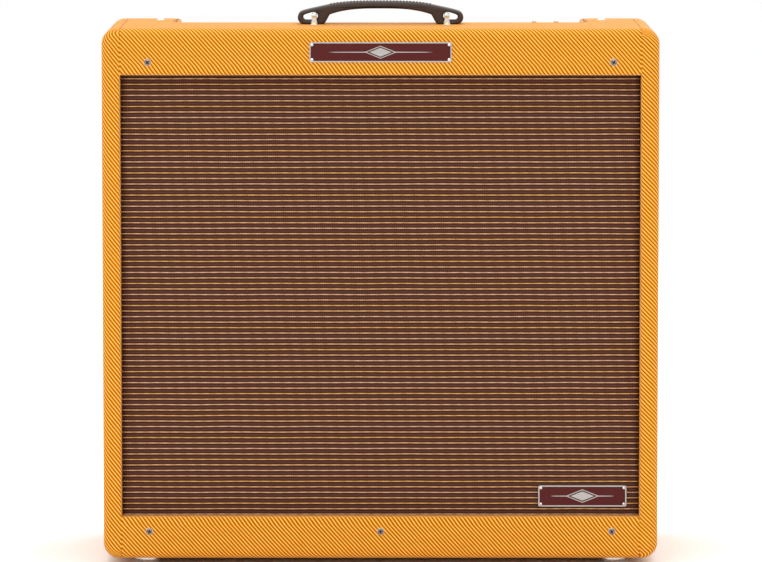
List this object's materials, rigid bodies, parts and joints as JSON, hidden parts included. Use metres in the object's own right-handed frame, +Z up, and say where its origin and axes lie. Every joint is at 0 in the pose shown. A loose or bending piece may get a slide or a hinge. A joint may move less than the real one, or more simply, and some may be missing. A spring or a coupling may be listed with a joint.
{
  "type": "guitar amplifier",
  "caption": "Tweed-covered combo guitar amplifier with an open back, ten-inch speakers behind woven grille cloth, a leather handle and top-mounted controls.",
  "frame": {"origin": "on the floor under the middle of the box that holds the whole amplifier", "axes": "+Z up, the grille faces -Y, +X to the right as seen from the front"},
  "size_m": [0.597, 0.2711, 0.6078],
  "materials": {
    "pine": "bare sanded pine",
    "plywood": "bare birch plywood",
    "tweed": "lacquered golden diagonal tweed",
    "grille": "dark red-brown woven cloth with gold lines",
    "nickel": "bright nickel",
    "dark_nickel": "darkened nickel",
    "maroon_enamel": "satin maroon enamel with a bright edge",
    "leather": "dark brown stitched leather",
    "brass": "plain brass",
    "chrome_panel": "polished chrome",
    "steel": "zinc-plated steel",
    "circuit_board": "green solder mask",
    "black_plastic": "moulded black plastic",
    "knob_plastic": "moulded dark plastic",
    "jewel": "faceted red glass",
    "lead": "black cable jacket",
    "basket": "black painted frame",
    "motor": "dark plated magnet housing",
    "cone_paper": "pressed grey-black paper",
    "spider_cloth": "resin-stiffened cloth"
  },
  "bodies": {
    "root": {"side_panel_left": "pine", "side_panel_right": "pine", "top_panel": "pine", "bottom_panel": "pine", "front_rail_upper": "pine", "front_rail_lower": "pine", "tweed_covering": "tweed", "baffle_board": "plywood", "grille_cloth": "grille", "back_panel_upper": "tweed", "back_panel_lower": "tweed", "back_cleats": "pine", "feet": "nickel", "name_plate": "maroon_enamel", "corner_badge": "maroon_enamel", "plate_rivets": "nickel", "front_screws": "dark_nickel", "back_screws": "dark_nickel", "handle_bracket_left": "nickel", "handle_bracket_right": "nickel", "handle_screws": "brass", "chassis": "chrome_panel", "chassis_cover": "steel", "chassis_bolts": "nickel", "signal_board": "circuit_board", "power_board": "circuit_board", "potentiometers": "steel", "toggle_switches": "steel", "pilot_bezel": "nickel", "pilot_jewel": "jewel", "input_jacks": "steel", "mains_inlet": "black_plastic", "line_out_socket": "steel", "footswitch_jack": "steel", "speaker_harness": "lead", "speaker_screws": "dark_nickel", "cone_surrounds": "cone_paper", "cone_spiders": "spider_cloth", "speaker_basket_1": "basket", "speaker_basket_2": "basket", "speaker_basket_3": "basket", "speaker_basket_4": "basket", "speaker_motor_1": "motor", "speaker_motor_2": "motor", "speaker_motor_3": "motor", "speaker_motor_4": "motor"},
    "handle": {"handle": "leather"},
    "normal_volume_knob": {"normal_volume_knob": "knob_plastic"},
    "bright_volume_knob": {"bright_volume_knob": "knob_plastic"},
    "treble_knob": {"treble_knob": "knob_plastic"},
    "bass_knob": {"bass_knob": "knob_plastic"},
    "middle_knob": {"middle_knob": "knob_plastic"},
    "presence_knob": {"presence_knob": "knob_plastic"},
    "attenuator_knob": {"attenuator_knob": "knob_plastic"},
    "power_toggle": {"power_toggle": "nickel"},
    "standby_toggle": {"standby_toggle": "nickel"},
    "speaker_cone_1": {"speaker_cone_1": "cone_paper"},
    "speaker_cone_2": {"speaker_cone_2": "cone_paper"},
    "speaker_cone_3": {"speaker_cone_3": "cone_paper"},
    "speaker_cone_4": {"speaker_cone_4": "cone_paper"}
  },
  "joints": [
    {"name": "normal_volume_turn", "type": "hinge", "parent": "root", "child": "normal_volume_knob", "pos_m": [-0.06, 0.045, 0.5605], "axis": [0, 0, 1], "range_deg": [-150, 150]},
    {"name": "bright_volume_turn", "type": "hinge", "parent": "root", "child": "bright_volume_knob", "pos_m": [-0.027, 0.045, 0.5605], "axis": [0, 0, 1], "range_deg": [-150, 150]},
    {"name": "treble_turn", "type": "hinge", "parent": "root", "child": "treble_knob", "pos_m": [0.006, 0.045, 0.5605], "axis": [0, 0, 1], "range_deg": [-150, 150]},
    {"name": "bass_turn", "type": "hinge", "parent": "root", "child": "bass_knob", "pos_m": [0.039, 0.045, 0.5605], "axis": [0, 0, 1], "range_deg": [-150, 150]},
    {"name": "middle_turn", "type": "hinge", "parent": "root", "child": "middle_knob", "pos_m": [0.072, 0.045, 0.5605], "axis": [0, 0, 1], "range_deg": [-150, 150]},
    {"name": "presence_turn", "type": "hinge", "parent": "root", "child": "presence_knob", "pos_m": [0.105, 0.045, 0.5605], "axis": [0, 0, 1], "range_deg": [-150, 150]},
    {"name": "attenuator_turn", "type": "hinge", "parent": "root", "child": "attenuator_knob", "pos_m": [0.11, 0.09286, 0.5209], "axis": [0, 0.991, 0.134], "range_deg": [-75, 75]},
    {"name": "power_toggle_flip", "type": "hinge", "parent": "root", "child": "power_toggle", "pos_m": [0.193, 0.045, 0.5625], "axis": [1, 0, 0], "range_deg": [-27, 0]},
    {"name": "standby_toggle_flip", "type": "hinge", "parent": "root", "child": "standby_toggle", "pos_m": [0.169, 0.045, 0.5625], "axis": [1, 0, 0], "range_deg": [-27, 0]},
    {"name": "handle_lift", "type": "slide", "parent": "root", "child": "handle", "axis": [0, 0, 1], "range_m": [0, 0.0022]},
    {"name": "cone_1_move", "type": "slide", "parent": "root", "child": "speaker_cone_1", "axis": [0, 1, 0], "range_m": [-0.0025, 0.0025], "stiffness_N_per_m": 2500},
    {"name": "cone_2_move", "type": "slide", "parent": "root", "child": "speaker_cone_2", "axis": [0, 1, 0], "range_m": [-0.0025, 0.0025], "stiffness_N_per_m": 2500},
    {"name": "cone_3_move", "type": "slide", "parent": "root", "child": "speaker_cone_3", "axis": [0, 1, 0], "range_m": [-0.0025, 0.0025], "stiffness_N_per_m": 2500},
    {"name": "cone_4_move", "type": "slide", "parent": "root", "child": "speaker_cone_4", "axis": [0, 1, 0], "range_m": [-0.0025, 0.0025], "stiffness_N_per_m": 2500}
  ]
}
